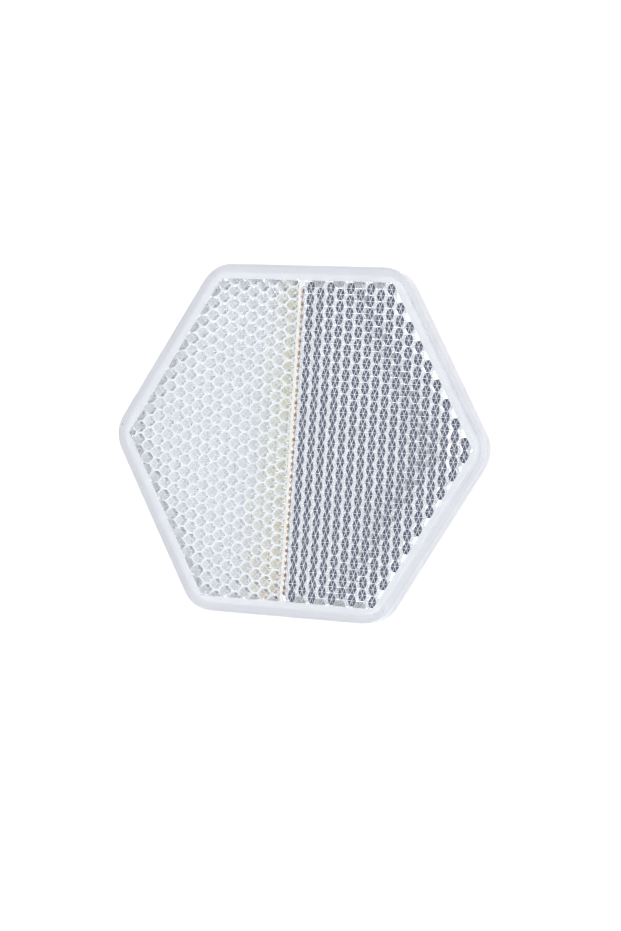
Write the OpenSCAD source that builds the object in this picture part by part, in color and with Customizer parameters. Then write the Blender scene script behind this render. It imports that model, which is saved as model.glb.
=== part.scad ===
// Self-adhesive hexagonal reflector. A clear moulded lens carries two fields of cube-corner prisms
// on its back, turned against each other on either side of a seam. A white back plate closes the
// lens and keeps air behind the prisms, and a foam pad with a release liner fixes it to a surface.
// Millimetres. The lens faces +Z, and the origin is the centre of the liner's outer face.

/* [Lens] */
// Distance across the flats at the foot of the outer wall
across_flats = 60; // [46:0.5:72]
// Radius of the six upright corners
corner_r = 6; // [4:0.1:8]
// Lean of the outer wall towards the front, in degrees
wall_draft = 2; // [0:0.5:4]
// Radius of the edge round the front face
front_edge_r = 0.9; // [0.3:0.1:1.2]
// Clear plastic between the front face and the ledge round the prisms
front_wall = 1; // [0.8:0.1:3]
// Thickness of the skirt that stands on the back plate
skirt_t = 1.6; // [1:0.1:2.2]
// Least width of the smooth ledge between the skirt and the prisms
ledge_w = 1; // [0.6:0.1:2]

/* [Prisms] */
// Distance between the centres of neighbouring prisms
prism_pitch = 2.1; // [1.6:0.1:3]
// Solid plastic between the prism valleys and the ledge
web_t = 0.2; // [0.1:0.05:0.8]
// Width of the groove along the seam between the two fields
seam_w = 0.5; // [0.2:0.05:1]
// How far the seam lies from the middle of the lens
seam_x = -0.9; // [-3:0.1:3]
// Air between the prism tips and the back plate
tip_clearance = 0.2; // [0.1:0.05:0.6]

/* [Back plate] */
// Thickness of the flange that the skirt is welded to
flange_t = 0.8; // [0.7:0.1:2]
// How far the flange stays inside the foot of the outer wall
flange_inset = 0.25; // [0.1:0.05:0.6]
// Radius of the flange's back edge
flange_edge_r = 0.4; // [0.1:0.1:0.6]
// Height of the raised land that centres the plate in the skirt
land_h = 0.3; // [0.2:0.1:0.8]
// Gap between the land and the skirt
land_clearance = 0.15; // [0.05:0.05:0.3]

/* [Adhesive] */
// Thickness of the foam pad
pad_t = 0.8; // [0.4:0.1:1.6]
// Distance from the edge of the flange to the edge of the pad
pad_inset = 3; // [2:0.1:5]
// Radius of the corners of the pad
pad_corner_r = 3; // [1:0.1:5]
// Thickness of the release liner
liner_t = 0.12; // [0.08:0.01:0.25]
// How far the liner stands out round the pad, to be gripped
liner_margin = 0.6; // [0:0.1:1.5]

/* [Hidden] */

// Steps round a full circle at the corners, and steps across the front edge's quarter round
corner_steps = 48;
edge_steps = 5;
// How far a prism field runs into the plastic above it, so that the two become one
field_sink = 0.4;

// Heights of the faces that the pieces share, from the liner's outer face upwards
pad_z = liner_t;
flange_z = pad_z + pad_t;
skirt_z = flange_z + flange_t;
land_z = skirt_z + land_h;
tip_z = land_z + tip_clearance;
// A cube on its corner has its edge ends and its valleys at one and two of these above its tip
level_h = prism_pitch/sqrt(6);
ledge_z = tip_z + 2*level_h + web_t;
front_z = ledge_z + front_wall;

// Half widths across the flats, and the corner radii that keep each wall even
lens_flat = across_flats/2;
inner_flat = lens_flat - skirt_t;
inner_r = corner_r - skirt_t;
flange_flat = lens_flat - flange_inset;
flange_r = corner_r - flange_inset;
pad_flat = flange_flat - pad_inset;

// The prism lattice: rows lie half a pitch apart, and points on a row lie on every second line
row_step = prism_pitch/2;
line_step = row_step/sqrt(3);
inner_reach = (inner_flat - inner_r)/cos(30) + inner_r;
// Whole rows between the middle and the ledge, as the flats and the corners of the skirt allow
rows = min(floor((inner_flat - ledge_w)/row_step), floor(inner_reach/(2*line_step)));
field_reach = 2*rows*line_step;
// Whole lines from the seam to the corner on either side
right_lines = floor((field_reach - seam_x - seam_w/2)/line_step);
left_lines = floor((field_reach + seam_x - seam_w/2)/line_step);

// A six-sided outline with round corners, flats at top and bottom
module hexagon(flat, corner) {
    hull()
        for (i = [0:5])
            rotate(60*i)
                translate([(flat - corner)/cos(30), 0])
                    circle(corner, $fn = corner_steps);
}

// A six-sided block with round corners, leaning walls and a quarter round at its top edge
module round_edged_block(flat, corner, height, edge, draft) {
    top_corner = corner - (height - edge)*tan(draft);
    quarter = [for (i = [0:edge_steps]) 90*i/edge_steps];
    hull()
        for (i = [0:5])
            rotate(60*i)
                translate([(flat - corner)/cos(30), 0])
                    rotate_extrude($fn = corner_steps)
                        polygon([
                            [0, 0],
                            [corner, 0],
                            for (a = quarter) [top_corner - edge + edge*cos(a), height - edge + edge*sin(a)],
                            [0, height]
                        ]);
}

// One prism field, from the seam at X = 0 to its corner on +X, with its lowest tips at height 0.
// It is a sheet of cubes that stand on their corners: tip, edge end and valley follow each other
// from line to line, and the same on every row. Straight walls join it to a flat top.
module half_field(lines) {
    top_z = 2*level_h + web_t + field_sink;

    function first_line(row) = (abs(row) + lines) % 2;
    function last_line(row) = lines - abs(row);
    function row_lines(row) = [first_line(row) : 2 : last_line(row)];
    function height(line) = level_h*((line + 1) % 3);
    function spot(line, row) = [seam_w/2 + line*line_step, row*row_step, height(line)];

    // Number of points before each row, which gives every point its place in the list
    before = [
        for (row = -rows, total = 0;
             row <= rows;
             total = total + (last_line(row) - first_line(row))/2 + 1, row = row + 1)
            total
    ];
    function point(line, row) = before[row + rows] + (line - first_line(row))/2;
    function has(line, row) = abs(row) <= rows && line >= 0 && line <= last_line(row);

    relief = [for (row = [-rows:rows]) for (line = row_lines(row)) spot(line, row)];

    // Facets with their long side on a row, and a third corner on the row above or below
    facets = [
        for (row = [-rows:rows])
            for (line = row_lines(row))
                if (has(line + 2, row))
                    each [
                        if (has(line + 1, row + 1))
                            [point(line, row), point(line + 2, row), point(line + 1, row + 1)],
                        if (has(line + 1, row - 1))
                            [point(line, row), point(line + 1, row - 1), point(line + 2, row)]
                    ]
    ];
    // Half facets that the seam cuts along their diagonal
    seam_facets = [
        for (row = [-rows:rows - 2])
            if (first_line(row) == 0)
                [point(0, row), point(1, row + 1), point(0, row + 2)]
    ];

    // The edge of the sheet, anticlockwise from the seam along the lowest row
    edge = [
        for (line = row_lines(rows)) point(line, -rows),
        for (row = [1 - rows:rows]) point(last_line(row), row),
        for (line = [last_line(rows) - 2 : -2 : first_line(rows)]) point(line, rows),
        for (row = [rows - 1 : -1 : 1 - rows]) if (first_line(row) == 0) point(0, row)
    ];
    count = len(relief);
    turns = len(edge);
    rim = [for (i = edge) [relief[i].x, relief[i].y, top_z]];
    middle = [seam_w/2 + lines/2*line_step, 0, top_z];

    walls = [
        for (i = [0:turns - 1])
            let (j = (i + 1) % turns)
                each [
                    [edge[i], count + i, edge[j]],
                    [edge[j], count + i, count + j]
                ]
    ];
    lid = [for (i = [0:turns - 1]) [count + i, count + turns, count + (i + 1) % turns]];

    polyhedron(
        points = concat(relief, rim, [middle]),
        faces = concat(facets, seam_facets, walls, lid)
    );
}

module lens() {
    color("aliceblue") {
        difference() {
            translate([0, 0, skirt_z])
                round_edged_block(lens_flat, corner_r, front_z - skirt_z, front_edge_r, wall_draft);
            translate([0, 0, skirt_z - 1])
                linear_extrude(ledge_z - skirt_z + 1)
                    hexagon(inner_flat, inner_r);
        }
        translate([seam_x, 0, tip_z]) {
            half_field(right_lines);
            mirror([1, 0, 0])
                half_field(left_lines);
        }
    }
}

module back_plate() {
    color("white") {
        translate([0, 0, skirt_z])
            mirror([0, 0, 1])
                round_edged_block(flange_flat, flange_r, flange_t, flange_edge_r, 0);
        translate([0, 0, skirt_z])
            linear_extrude(land_h)
                hexagon(inner_flat - land_clearance, inner_r - land_clearance);
    }
}

module adhesive_pad() {
    color("gainsboro")
        translate([0, 0, pad_z])
            linear_extrude(pad_t)
                hexagon(pad_flat, pad_corner_r);
}

module release_liner() {
    color("ivory")
        linear_extrude(liner_t)
            hexagon(pad_flat + liner_margin, pad_corner_r + liner_margin);
}

lens();
back_plate();
adhesive_pad();
release_liner();
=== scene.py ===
import math

import bmesh
import bpy
from mathutils import Matrix, Vector


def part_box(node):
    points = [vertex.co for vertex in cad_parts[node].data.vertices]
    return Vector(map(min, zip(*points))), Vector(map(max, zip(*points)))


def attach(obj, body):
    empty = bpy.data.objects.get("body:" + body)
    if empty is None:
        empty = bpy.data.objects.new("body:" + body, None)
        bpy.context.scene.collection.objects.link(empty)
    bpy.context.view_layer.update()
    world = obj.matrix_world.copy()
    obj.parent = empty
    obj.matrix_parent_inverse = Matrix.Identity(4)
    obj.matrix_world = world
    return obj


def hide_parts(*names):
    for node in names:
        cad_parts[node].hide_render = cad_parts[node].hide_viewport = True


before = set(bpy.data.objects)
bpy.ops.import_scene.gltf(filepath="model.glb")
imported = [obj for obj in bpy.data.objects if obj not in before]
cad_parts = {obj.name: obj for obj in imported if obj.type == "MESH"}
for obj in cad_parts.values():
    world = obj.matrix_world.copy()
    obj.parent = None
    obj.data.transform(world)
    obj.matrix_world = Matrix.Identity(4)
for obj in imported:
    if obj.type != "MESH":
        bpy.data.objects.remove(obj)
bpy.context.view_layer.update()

MM = 0.001

# Camera: its focal length, where it looks on the lens's front face, and how it leans and turns
PICTURE_HEIGHT_PX = 931
FOCAL_PX = 2250
SENSOR_MM = 36.0
NEAREST_SEEN = 10 * MM
CAMERA_DISTANCE = 0.3794
CAMERA_LEAN_X = math.radians(21.94)
CAMERA_LEAN_Y = math.radians(-0.56)
CAMERA_ROLL = math.radians(3.59)
LOOK_AT = Vector((3.25, -4.0)) * MM

# Light: a pale studio, brighter overhead and on the right than low on the left, and the dark
# side behind the camera, which the prisms send back to it
STUDIO_COLOUR = (0.93, 0.96, 1.0)
STUDIO_STRENGTH = 2.15
LOW_STRENGTH = 0.9
FULL_LIGHT_FROM = math.radians(40)
RIGHT_SHARE = 0.3
DARK_SIDE = (0.006, 0.010, 0.034)
DARK_WITHIN = math.radians(14)
PALE_BEYOND = math.radians(24)
FLOOR_SIZE = 3.0
FLOOR_COLOUR = (0.45, 0.45, 0.45)
FLOOR_GLOW = 0.55

# Lens: the place of the seam and of the prism fields, as in the CAD
SEAM_X = -0.9 * MM
SEAM_WIDTH = 0.5 * MM
PRISM_PITCH = 2.1 * MM
FIELD_HALF_HEIGHT = 27.3 * MM
FRONT_WALL = 1.0 * MM

# Rounding of the prisms' edges: the valleys left of the seam, the slanting and the level ones
# right of it, and the ridges. Near the seam the level ones stay sharp.
VALLEY_ROUND = 0.24 * MM
SLANTING_VALLEY_ROUND = 0.07 * MM
LEVEL_VALLEY_ROUND = 0.03 * MM
SHARP_WITHIN = 7 * MM
RIDGE_ROUND = 0.06 * MM

# Slit that keeps the weld's two faces apart, and what counts as the same point, direction or plane
WELD_SLIT = 0.02 * MM
SAME_POINT = 0.001 * MM
SAME_NORMAL = 0.01
SAME_PLANE = math.radians(1)
SHARP_EDGE = math.radians(25)
CUBE_FACE_Z = -1 / math.sqrt(3)

# Slots of the lens's materials
CLEAR = 0
PRISM_EDGES = 1
RIM = 2

# Acrylic: a painted colour fringe of dispersed light left of the seam, wider at the bottom, and
# dark red dots of painted shade with a pink painted fringe between them right of it
ACRYLIC_IOR = 1.49
MARK_ROUGHNESS = 0.05
WHITE = (1.0, 1.0, 1.0)
YELLOW_GREEN = (0.90, 0.86, 0.50)
ORANGE = (0.95, 0.70, 0.50)
FRINGE_WIDTH_BELOW = 11 * MM
FRINGE_WIDTH_ABOVE = 5.5 * MM
FRINGE_PATCH = 1.7 * PRISM_PITCH
ORANGE_FROM = -5 * MM
ORANGE_FULL = -20 * MM
DOT_PITCH = PRISM_PITCH / 2
DOT_LINE_X = SEAM_X + SEAM_WIDTH / 2 + 0.34 * MM
DOT_LINE_REACH = 0.40 * MM
SHADE_DOT_RED = (0.13, 0.055, 0.065)
FRINGE_DOT_GAP_PINK = (0.95, 0.83, 0.81)

# Frosted surfaces, the cream floor of the seam's groove, and how far off the seam it reaches
EDGE_WHITES = (0.88, 0.90, 0.94), (0.97, 0.98, 1.0)
RIM_GREYS = (0.79, 0.785, 0.805), (0.83, 0.825, 0.845)
GROOVE_CREAMS = (0.93, 0.90, 0.80), (0.93, 0.93, 0.90)
GROOVE_REACH = 0.6 * SEAM_WIDTH

# Plastic, foam and paper
PLASTIC_WHITES = (0.91, 0.915, 0.925), (0.94, 0.945, 0.95)
PLASTIC_MARK = (0.86, 0.86, 0.86)
FOAM_GREYS = (0.66, 0.66, 0.65), (0.82, 0.82, 0.80)
FOAM_AGED = (0.88, 0.87, 0.83)
FOAM_CELL = 0.22 * MM
ADHESIVE = (0.80, 0.77, 0.64)
ADHESIVE_EDGE = 0.05 * MM
ADHESIVE_FADE = 0.09 * MM
PAPER_CREAMS = (0.80, 0.76, 0.64), (0.93, 0.90, 0.80)
PAPER_CLOUD = (0.90, 0.88, 0.80)
FIBRES_PER_METRE = 900.0
FIBRE_STRETCH = 9.0


# Camera

def camera_axes():
    """The camera's right, up and back directions."""
    back = Vector((
        math.sin(CAMERA_LEAN_X) * math.cos(CAMERA_LEAN_Y),
        math.sin(CAMERA_LEAN_Y),
        math.cos(CAMERA_LEAN_X) * math.cos(CAMERA_LEAN_Y),
    ))
    upright = (Vector((0, 1, 0)) - back * back.y).normalized()
    level = upright.cross(back)
    right = level * math.cos(CAMERA_ROLL) + upright * math.sin(CAMERA_ROLL)
    up = upright * math.cos(CAMERA_ROLL) - level * math.sin(CAMERA_ROLL)
    return right, up, back


def add_camera():
    right, up, back = camera_axes()
    front_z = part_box("lens")[1].z
    target = Vector((LOOK_AT.x, LOOK_AT.y, front_z))
    turn = Matrix((right, up, back)).transposed().to_4x4()
    data = bpy.data.cameras.new("camera")
    data.sensor_width = SENSOR_MM
    data.lens = FOCAL_PX / PICTURE_HEIGHT_PX * SENSOR_MM
    data.clip_start = NEAREST_SEEN
    camera = bpy.data.objects.new("camera", data)
    camera.matrix_world = Matrix.Translation(target + back * CAMERA_DISTANCE) @ turn
    bpy.context.scene.collection.objects.link(camera)
    bpy.context.scene.camera = camera


# Nodes

def add(tree, kind, inputs=None, **settings):
    """A node with its settings. Each input is a value, or the output that feeds it."""
    item = tree.nodes.new(kind)
    for name, value in settings.items():
        setattr(item, name, value)
    for name, value in (inputs or {}).items():
        if isinstance(value, bpy.types.NodeSocket):
            tree.links.new(value, item.inputs[name])
        else:
            item.inputs[name].default_value = value
    return item


def calculate(tree, operation, *values):
    """The result of one Math node."""
    inputs = dict(enumerate(values))
    return add(tree, "ShaderNodeMath", inputs, operation=operation).outputs[0]


def product(tree, first, *others):
    """Values or masks multiplied together."""
    result = first
    for other in others:
        result = calculate(tree, "MULTIPLY", result, other)
    return result


def within(tree, value, middle, reach):
    """1 where a value lies less than a reach from the middle, else 0."""
    off_middle = calculate(tree, "ABSOLUTE", calculate(tree, "SUBTRACT", value, middle))
    return calculate(tree, "LESS_THAN", off_middle, reach)


def repeat(tree, value, length):
    """Where a value lies in repeats of one length, from 0 to 1."""
    return calculate(tree, "FRACT", calculate(tree, "DIVIDE", value, length))


def map_range(tree, value, low, high, new_low=0.0, new_high=1.0):
    """A value that runs from new_low to new_high while the old one runs from low to high."""
    inputs = {
        "Value": value,
        "From Min": low,
        "From Max": high,
        "To Min": new_low,
        "To Max": new_high,
    }
    return add(tree, "ShaderNodeMapRange", inputs, clamp=True).outputs["Result"]


def noise(tree, vector, scale, detail, roughness=0.5):
    inputs = {"Vector": vector, "Scale": scale, "Detail": detail, "Roughness": roughness}
    return add(tree, "ShaderNodeTexNoise", inputs).outputs["Fac"]


def mix_colours(tree, factor, a, b):
    """Colour a where the factor is 0 and colour b where it is 1."""
    mix = add(tree, "ShaderNodeMix", data_type="RGBA")
    tree.links.new(factor, mix.inputs[0])
    for socket, colour in ((mix.inputs[6], a), (mix.inputs[7], b)):
        if isinstance(colour, bpy.types.NodeSocket):
            tree.links.new(colour, socket)
        else:
            socket.default_value = (*colour, 1)
    return mix.outputs[2]


def new_group(name, inputs, outputs):
    """An empty node group with a Vector input, float inputs and float outputs."""
    tree = bpy.data.node_groups.new(name, "ShaderNodeTree")
    tree.interface.new_socket("Vector", in_out="INPUT", socket_type="NodeSocketVector")
    for label, value in inputs.items():
        socket = tree.interface.new_socket(label, in_out="INPUT", socket_type="NodeSocketFloat")
        socket.default_value = value
    for label in outputs:
        tree.interface.new_socket(label, in_out="OUTPUT", socket_type="NodeSocketFloat")
    source = tree.nodes.new("NodeGroupInput")
    result = tree.nodes.new("NodeGroupOutput")
    return tree, source.outputs, result.inputs


def place_group(tree, group, vector, **values):
    item = tree.nodes.new("ShaderNodeGroup")
    item.node_tree = group
    tree.links.new(vector, item.inputs["Vector"])
    for name, value in values.items():
        item.inputs[name].default_value = value
    return item.outputs


def grain_group():
    """Fine surface grain, and a slow cloudiness over it. Size is the grain's, in metres."""
    tree, given, result = new_group("surface grain", {"Size": 0.3 * MM}, ["Height", "Cloud"])
    fine = calculate(tree, "DIVIDE", 1.0, given["Size"])
    coarse = calculate(tree, "DIVIDE", fine, 18.0)
    tree.links.new(noise(tree, given["Vector"], fine, 2.0), result["Height"])
    tree.links.new(noise(tree, given["Vector"], coarse, 3.0), result["Cloud"])
    return tree


def wear_group():
    """Faint handling scratches in two directions, and specks of dust."""
    tree, given, result = new_group("handling wear", {"Spread": 4 * MM}, ["Marks"])
    scale = calculate(tree, "DIVIDE", 1.0, given["Spread"])
    scratches = []
    for turn, stretch in ((0.5, 14.0), (2.2, 9.0)):
        inputs = {
            "Vector": given["Vector"],
            "Rotation": (0, 0, turn),
            "Scale": (1.0, stretch, 1.0),
        }
        turned = add(tree, "ShaderNodeMapping", inputs).outputs[0]
        lines = noise(tree, turned, scale, 4.0, 0.7)
        scratches.append(map_range(tree, lines, 0.66, 0.74))
    dust = add(tree, "ShaderNodeTexVoronoi", {"Vector": given["Vector"], "Scale": scale})
    specks = map_range(tree, dust.outputs["Distance"], 0.05, 0.03)
    both = calculate(tree, "MAXIMUM", scratches[0], scratches[1])
    tree.links.new(calculate(tree, "MAXIMUM", both, specks), result["Marks"])
    return tree


def new_material(name):
    """A material, with its node tree, its shader's inputs and the Object coordinates."""
    material = bpy.data.materials.new(name)
    material.use_nodes = True
    tree = material.node_tree
    place = tree.nodes.new("ShaderNodeTexCoord").outputs["Object"]
    return material, tree, tree.nodes["Principled BSDF"].inputs, place


def coordinates(tree, place):
    """The X, Y and Z of a place."""
    return add(tree, "ShaderNodeSeparateXYZ", {"Vector": place}).outputs


def bump(tree, shader, height, distance):
    relief = add(tree, "ShaderNodeBump", {"Height": height, "Distance": distance})
    tree.links.new(relief.outputs["Normal"], shader["Normal"])


# Materials

def painted_dispersion_fringe(tree, place, xyz, on_prisms):
    """Painted colour fringe of dispersed light: white, yellow-green on the prisms left of the
    seam, with orange spots low down.
    """
    left_of_seam = calculate(tree, "SUBTRACT", SEAM_X, xyz["X"])
    bottom, top = -FIELD_HALF_HEIGHT, FIELD_HALF_HEIGHT
    width = map_range(tree, xyz["Y"], bottom, top, FRINGE_WIDTH_BELOW, FRINGE_WIDTH_ABOVE)
    share = calculate(tree, "DIVIDE", left_of_seam, width)
    fading = map_range(tree, share, 0.25, 1.0, 1.0, 0.0)
    on_left = calculate(tree, "GREATER_THAN", left_of_seam, 0.0)
    patches = noise(tree, place, 1 / FRINGE_PATCH, 2.0)
    patchy = map_range(tree, patches, 0.35, 0.65, 0.25, 1.0)
    fringe_mask = product(tree, fading, on_left, on_prisms, patchy)

    spots = map_range(tree, noise(tree, place, 1 / PRISM_PITCH, 1.0), 0.5, 0.62)
    low_down = map_range(tree, xyz["Y"], ORANGE_FROM, ORANGE_FULL)
    hue = mix_colours(tree, product(tree, spots, low_down), YELLOW_GREEN, ORANGE)
    return mix_colours(tree, fringe_mask, WHITE, hue)


def painted_shade_seam_dots(tree, xyz, on_prisms, colour):
    """The given colour, with a line of dark red dots of painted shade, and pink painted fringe
    between them, on the cut prisms right of the seam.
    """
    on_line = product(tree, within(tree, xyz["X"], DOT_LINE_X, DOT_LINE_REACH), on_prisms)
    dots = map_range(tree, repeat(tree, xyz["Y"], DOT_PITCH), 0.65, 0.55)
    shade_dots = mix_colours(tree, dots, FRINGE_DOT_GAP_PINK, SHADE_DOT_RED)
    return mix_colours(tree, on_line, colour, shade_dots)


def clear_acrylic(wear):
    """Polished clear acrylic, with a painted colour fringe and dots of painted shade on the prisms
    beside the seam.
    """
    material, tree, shader, place = new_material("clear acrylic")
    shader["IOR"].default_value = ACRYLIC_IOR
    shader["Transmission Weight"].default_value = 1.0
    xyz = coordinates(tree, place)
    in_front_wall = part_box("lens")[1].z - FRONT_WALL / 2
    behind_front = calculate(tree, "LESS_THAN", xyz["Z"], in_front_wall)
    in_height = within(tree, xyz["Y"], 0.0, FIELD_HALF_HEIGHT)
    on_prisms = product(tree, behind_front, in_height)
    # Painted light in the base colour: a dispersion fringe left of the seam and dots of painted
    # shade right of it
    colour = painted_dispersion_fringe(tree, place, xyz, on_prisms)
    tree.links.new(painted_shade_seam_dots(tree, xyz, on_prisms, colour), shader["Base Color"])

    marks = place_group(tree, wear, place, Spread=6 * MM)["Marks"]
    on_front = calculate(tree, "GREATER_THAN", xyz["Z"], in_front_wall)
    tree.links.new(product(tree, marks, on_front, MARK_ROUGHNESS), shader["Roughness"])
    return material


def frosted_edges(grain):
    """The rounded edges of the prisms: fine, frosted and white."""
    material, tree, shader, place = new_material("frosted prism edges")
    cloud = place_group(tree, grain, place, Size=0.2 * MM)["Cloud"]
    tree.links.new(mix_colours(tree, cloud, *EDGE_WHITES), shader["Base Color"])
    shader["Roughness"].default_value = 0.6
    return material


def frosted_rim(grain):
    """The frosted skirt, foot and ledge. The floor of the seam's groove is cream."""
    material, tree, shader, place = new_material("frosted rim")
    texture = place_group(tree, grain, place, Size=0.35 * MM)
    grey = mix_colours(tree, texture["Cloud"], *RIM_GREYS)

    xyz = coordinates(tree, place)
    on_seam = within(tree, xyz["X"], SEAM_X, GROOVE_REACH)
    in_height = within(tree, xyz["Y"], 0.0, FIELD_HALF_HEIGHT)
    blend = map_range(tree, repeat(tree, xyz["Y"], PRISM_PITCH), 0.4, 0.6)
    cream = mix_colours(tree, blend, *GROOVE_CREAMS)
    in_groove = product(tree, on_seam, in_height)
    tree.links.new(mix_colours(tree, in_groove, grey, cream), shader["Base Color"])
    shader["Roughness"].default_value = 0.7
    bump(tree, shader, texture["Height"], 0.02 * MM)
    return material


def white_plastic(grain, wear):
    """The back plate: moulded white plastic with the mould's satin grain."""
    material, tree, shader, place = new_material("white moulded plastic")
    texture = place_group(tree, grain, place, Size=0.3 * MM)
    marks = place_group(tree, wear, place, Spread=5 * MM)["Marks"]
    white = mix_colours(tree, texture["Cloud"], *PLASTIC_WHITES)
    tree.links.new(mix_colours(tree, marks, white, PLASTIC_MARK), shader["Base Color"])
    roughness = map_range(tree, texture["Cloud"], 0.3, 0.7, 0.42, 0.56)
    tree.links.new(roughness, shader["Roughness"])
    bump(tree, shader, texture["Height"], 0.015 * MM)
    return material


def foam_tape(grain):
    """Closed-cell foam, with a glossy film of adhesive on both faces."""
    material, tree, shader, place = new_material("foam with adhesive")
    cells = add(tree, "ShaderNodeTexVoronoi", {"Vector": place, "Scale": 1 / FOAM_CELL})
    cell_walls = map_range(tree, cells.outputs["Distance"], 0.25, 0.75)
    cloud = place_group(tree, grain, place, Size=0.4 * MM)["Cloud"]
    foam = mix_colours(tree, cell_walls, *FOAM_GREYS)
    foam = mix_colours(tree, map_range(tree, cloud, 0.3, 0.7, 0.0, 0.35), foam, FOAM_AGED)

    low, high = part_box("adhesive_pad")
    middle = (low.z + high.z) / 2
    half = high.z - middle
    height = coordinates(tree, place)["Z"]
    off_middle = calculate(tree, "ABSOLUTE", calculate(tree, "SUBTRACT", height, middle))
    film = map_range(tree, off_middle, half - ADHESIVE_FADE, half - ADHESIVE_EDGE)
    tree.links.new(mix_colours(tree, film, foam, ADHESIVE), shader["Base Color"])
    tree.links.new(map_range(tree, film, 0.0, 1.0, 0.85, 0.18), shader["Roughness"])
    bump(tree, shader, cell_walls, 0.06 * MM)
    return material


def release_paper(grain):
    """Siliconised paper: fibres under a thin glossy coat."""
    material, tree, shader, place = new_material("siliconised paper")
    inputs = {"Vector": place, "Scale": (1.0, FIBRE_STRETCH, 1.0)}
    turned = add(tree, "ShaderNodeMapping", inputs).outputs[0]
    fibres = noise(tree, turned, FIBRES_PER_METRE, 5.0)
    cloud = place_group(tree, grain, place, Size=0.5 * MM)["Cloud"]
    cream = mix_colours(tree, fibres, *PAPER_CREAMS)
    tree.links.new(mix_colours(tree, cloud, cream, PAPER_CLOUD), shader["Base Color"])
    tree.links.new(map_range(tree, fibres, 0.3, 0.7, 0.38, 0.55), shader["Roughness"])
    shader["Coat Weight"].default_value = 0.35
    shader["Coat Roughness"].default_value = 0.2
    bump(tree, shader, fibres, 0.02 * MM)
    return material


def give(node, material):
    """Put one material on a whole CAD node."""
    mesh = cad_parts[node].data
    mesh.materials.clear()
    mesh.materials.append(material)


# Lens

def is_prism_face(face):
    """Prism faces stand like a cube's faces when the cube stands on its corner."""
    return abs(face.normal.z - CUBE_FACE_Z) < SAME_NORMAL


def is_prism_edge(edge):
    return len(edge.link_faces) == 2 and all(map(is_prism_face, edge.link_faces))


def is_prism_diagonal(edge):
    """An edge that only splits a square prism face into two triangles."""
    return is_prism_edge(edge) and edge.calc_face_angle() < SAME_PLANE


def edge_round(edge):
    """How wide a prism edge is rounded."""
    a, b = (vert.co for vert in edge.verts)
    if edge.is_convex:
        return RIDGE_ROUND
    if a.x < SEAM_X:
        return VALLEY_ROUND
    if abs(a.y - b.y) > SAME_POINT:
        return SLANTING_VALLEY_ROUND
    return 0.0 if a.x < SEAM_X + SHARP_WITHIN else LEVEL_VALLEY_ROUND


def is_rim_face(face):
    """The foot and the ledge, which look back, and the skirt's inner side, which looks inwards."""
    middle = face.calc_center_median()
    looks_back = face.normal.z < SAME_NORMAL - 1
    upright = abs(face.normal.z) < SAME_NORMAL
    at_seam = abs(middle.x - SEAM_X) < SEAM_WIDTH
    return looks_back or (upright and not at_seam and face.normal.xy.dot(middle.xy) < 0)


def shape_lens():
    """A copy of the CAD lens with square prism faces and a rounding width on their edges."""
    shape = bmesh.new()
    shape.from_mesh(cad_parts["lens"].data)
    bmesh.ops.remove_doubles(shape, verts=shape.verts, dist=SAME_POINT)
    for face in shape.faces:
        face.material_index = RIM if is_rim_face(face) else CLEAR
        face.smooth = not is_prism_face(face)
    foot_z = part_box("lens")[0].z
    for vert in shape.verts:
        if vert.co.z < foot_z + SAME_POINT:
            vert.co.z += WELD_SLIT
    diagonals = list(filter(is_prism_diagonal, shape.edges))
    bmesh.ops.dissolve_edges(shape, edges=diagonals, use_verts=False)
    weight = shape.edges.layers.float.new("bevel_weight_edge")
    for edge in filter(is_prism_edge, shape.edges):
        edge[weight] = edge_round(edge) / VALLEY_ROUND

    mesh = bpy.data.meshes.new("clear lens")
    shape.to_mesh(mesh)
    shape.free()
    # The CAD's own normals no longer fit the merged faces
    mesh.attributes.remove(mesh.attributes["custom_normal"])
    mesh.set_sharp_from_angle(angle=SHARP_EDGE)
    return mesh


def add_lens(clear, edges, rim):
    """The moulding, with the prisms' edges rounded and frosted."""
    mesh = shape_lens()
    for material in (clear, edges, rim):
        mesh.materials.append(material)
    lens = bpy.data.objects.new("clear_lens", mesh)
    bpy.context.scene.collection.objects.link(lens)
    rounding = lens.modifiers.new("mould rounding", "BEVEL")
    rounding.limit_method = "WEIGHT"
    rounding.width = VALLEY_ROUND
    rounding.segments = 1
    rounding.material = PRISM_EDGES
    shading = lens.modifiers.new("flat faces", "WEIGHTED_NORMAL")
    shading.keep_sharp = True
    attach(lens, "root")
    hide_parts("lens")


# Studio

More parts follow.
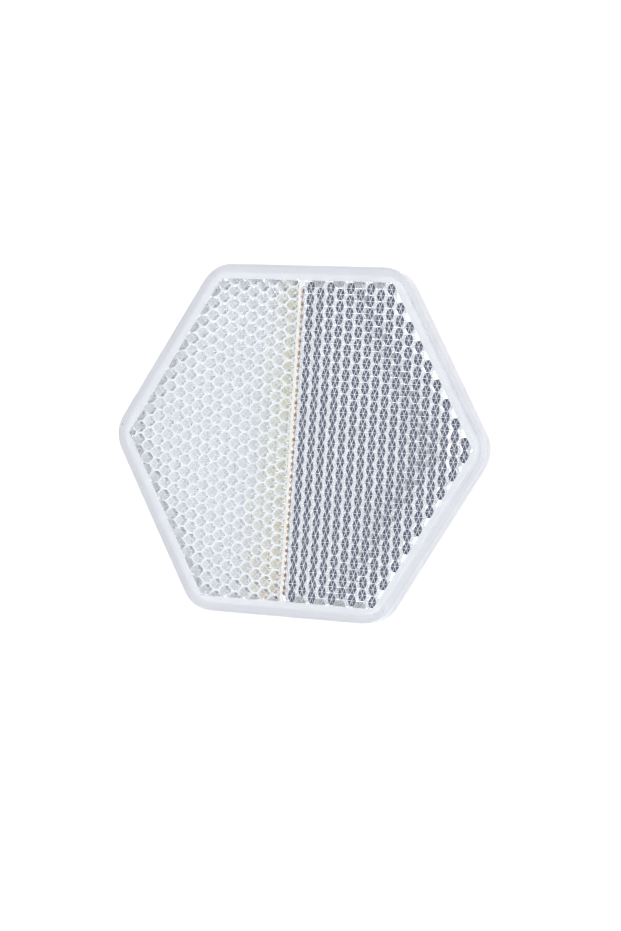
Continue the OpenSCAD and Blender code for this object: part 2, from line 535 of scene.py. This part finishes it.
def add_world():
    """Pale light from all round, and a dark side behind the camera."""
    world = bpy.data.worlds.new("studio")
    world.use_nodes = True
    tree = world.node_tree
    tree.nodes.clear()
    direction = add(tree, "ShaderNodeTexCoord").outputs["Generated"]

    def along(axis):
        inputs = {0: direction, 1: axis}
        return add(tree, "ShaderNodeVectorMath", inputs, operation="DOT_PRODUCT").outputs["Value"]

    camera_side = along(camera_axes()[2])
    dark = map_range(tree, camera_side, math.cos(PALE_BEYOND), math.cos(DARK_WITHIN))
    colour = mix_colours(tree, dark, STUDIO_COLOUR, DARK_SIDE)
    height = along((RIGHT_SHARE, 0, 1))
    full_height = math.sin(FULL_LIGHT_FROM)
    strength = map_range(tree, height, 0.0, full_height, LOW_STRENGTH, STUDIO_STRENGTH)
    background = add(tree, "ShaderNodeBackground", {"Color": colour, "Strength": strength})
    add(tree, "ShaderNodeOutputWorld", {"Surface": background.outputs[0]})
    bpy.context.scene.world = world


def add_floor():
    """A plain table that glows enough to look white and to keep its shadow faint."""
    mesh = bpy.data.meshes.new("floor")
    shape = bmesh.new()
    bmesh.ops.create_grid(shape, x_segments=1, y_segments=1, size=FLOOR_SIZE / 2)
    shape.to_mesh(mesh)
    shape.free()
    floor = bpy.data.objects.new("floor", mesh)
    bpy.context.scene.collection.objects.link(floor)
    material = bpy.data.materials.new("pale floor")
    material.use_nodes = True
    shader = material.node_tree.nodes["Principled BSDF"].inputs
    shader["Base Color"].default_value = (*FLOOR_COLOUR, 1)
    shader["Roughness"].default_value = 0.8
    shader["Emission Color"].default_value = (*WHITE, 1)
    shader["Emission Strength"].default_value = FLOOR_GLOW
    mesh.materials.append(material)


def set_light_paths():
    """Enough bounces for light to pass the lens, be sent round by the prisms and come back."""
    scene = bpy.context.scene
    scene.view_settings.view_transform = "Standard"
    scene.cycles.max_bounces = 24
    scene.cycles.transmission_bounces = 24
    scene.cycles.glossy_bounces = 12
    scene.cycles.diffuse_bounces = 16
    scene.cycles.transparent_max_bounces = 8
    scene.cycles.caustics_refractive = True
    scene.cycles.caustics_reflective = True


add_camera()
add_world()
add_floor()
set_light_paths()

grain = grain_group()
wear = wear_group()
add_lens(clear_acrylic(wear), frosted_edges(grain), frosted_rim(grain))
give("back_plate", white_plastic(grain, wear))
give("adhesive_pad", foam_tape(grain))
give("release_liner", release_paper(grain))
